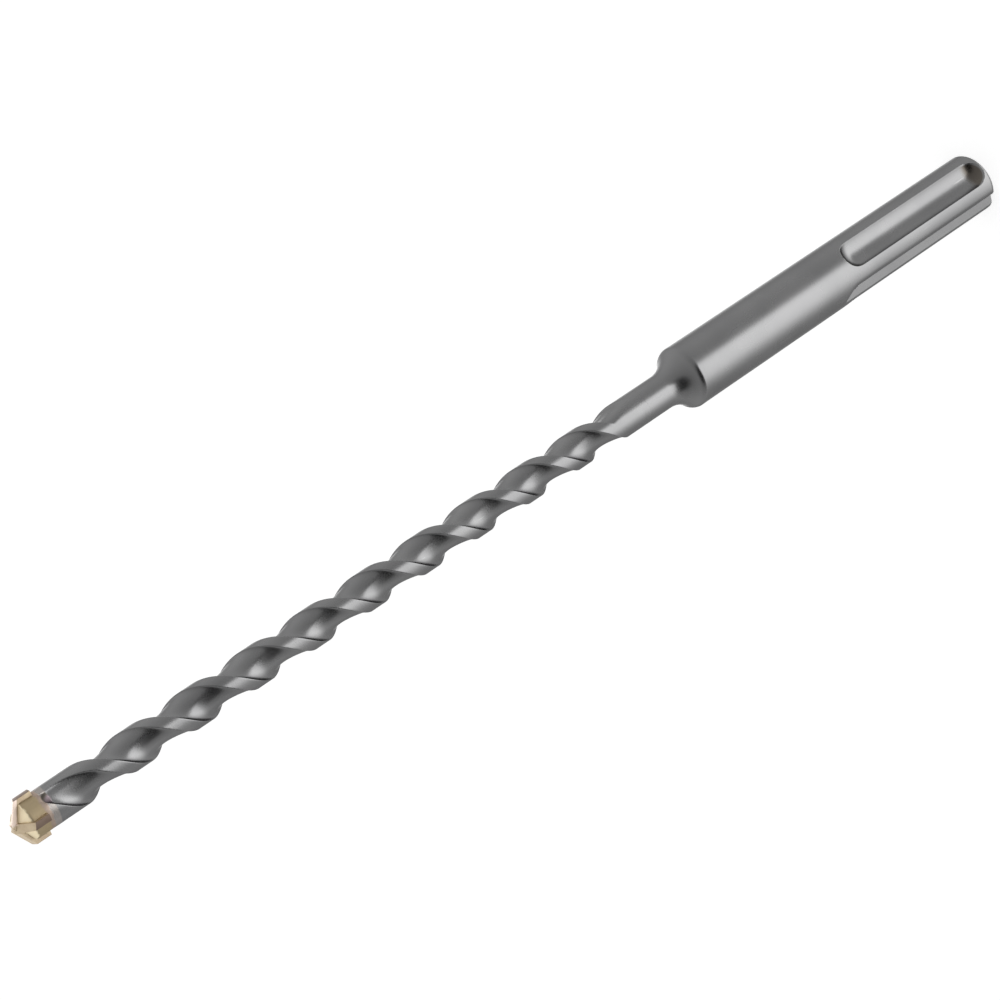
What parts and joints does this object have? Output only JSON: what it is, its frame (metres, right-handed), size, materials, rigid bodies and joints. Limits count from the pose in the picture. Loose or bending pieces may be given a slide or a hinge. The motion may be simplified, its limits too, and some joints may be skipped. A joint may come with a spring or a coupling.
{
  "type": "hammer drill bit",
  "caption": "Twist drill bit for hammer drilling in masonry, with a thick grooved shank, a smooth shoulder and a cross-shaped cutter brazed into its head.",
  "frame": {"origin": "centre of the flat struck end face, which the drill stands on", "axes": "+Z along the drill's own axis, from the struck end to the point"},
  "size_m": [0.018, 0.018, 0.34],
  "materials": {
    "steel": "blasted satin steel",
    "carbide": "ground hard metal with a heat tint"
  },
  "bodies": {
    "root": {"drill_body": "steel", "cutter": "carbide"}
  },
  "joints": []
}
